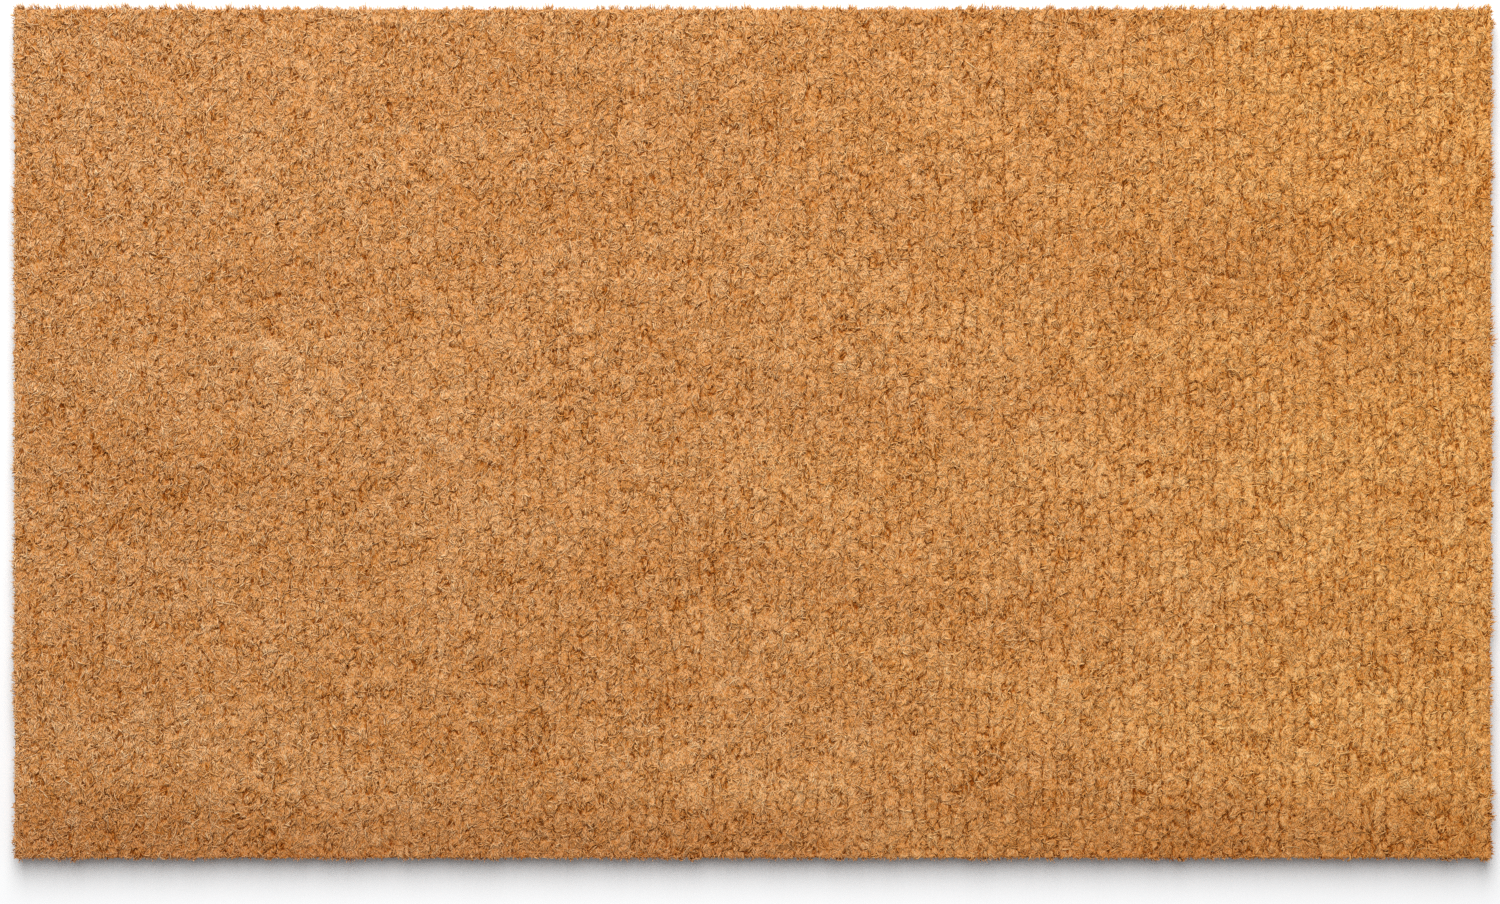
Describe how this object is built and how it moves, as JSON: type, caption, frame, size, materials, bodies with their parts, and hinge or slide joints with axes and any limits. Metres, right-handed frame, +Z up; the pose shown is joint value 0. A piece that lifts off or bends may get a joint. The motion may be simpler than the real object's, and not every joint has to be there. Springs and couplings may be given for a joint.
{
  "type": "door mat",
  "caption": "Rectangular coir door mat: rows of upright natural-fibre tufts set by their feet in a flat vinyl backing and sheared level, for wiping shoes.",
  "frame": {"origin": "middle of the underside, on the floor", "axes": "+X along the mat's length, +Y across it along the tuft rows, +Z up through the pile"},
  "size_m": [0.762, 0.439, 0.015],
  "materials": {
    "coir": "dry, matt cut pile of brown-gold coconut fibre",
    "vinyl": "dark flexible vinyl with a fine satin emboss"
  },
  "bodies": {
    "root": {"vinyl_backing": "vinyl", "tuft_rows_01": "coir", "tuft_rows_02": "coir", "tuft_rows_03": "coir", "tuft_rows_04": "coir", "tuft_rows_05": "coir", "tuft_rows_06": "coir", "tuft_rows_07": "coir", "tuft_rows_08": "coir", "tuft_rows_09": "coir", "tuft_rows_10": "coir", "tuft_rows_11": "coir", "tuft_rows_12": "coir", "tuft_rows_13": "coir", "tuft_rows_14": "coir", "tuft_rows_15": "coir", "tuft_rows_16": "coir", "tuft_rows_17": "coir", "tuft_rows_18": "coir", "tuft_rows_19": "coir", "tuft_rows_20": "coir", "tuft_rows_21": "coir", "tuft_rows_22": "coir", "tuft_rows_23": "coir", "tuft_rows_24": "coir", "tuft_rows_25": "coir", "tuft_rows_26": "coir", "tuft_rows_27": "coir", "tuft_rows_28": "coir", "tuft_rows_29": "coir", "tuft_rows_30": "coir", "tuft_rows_31": "coir", "tuft_rows_32": "coir", "tuft_rows_33": "coir", "tuft_rows_34": "coir", "tuft_rows_35": "coir", "tuft_rows_36": "coir", "tuft_rows_37": "coir", "tuft_rows_38": "coir", "tuft_rows_39": "coir", "tuft_rows_40": "coir", "tuft_rows_41": "coir", "tuft_rows_42": "coir", "tuft_rows_43": "coir", "tuft_rows_44": "coir", "tuft_rows_45": "coir", "tuft_rows_46": "coir", "tuft_rows_47": "coir", "tuft_rows_48": "coir", "tuft_rows_49": "coir", "tuft_rows_50": "coir", "tuft_rows_51": "coir", "tuft_rows_52": "coir", "tuft_rows_53": "coir", "tuft_rows_54": "coir", "tuft_rows_55": "coir", "tuft_rows_56": "coir"}
  },
  "joints": []
}
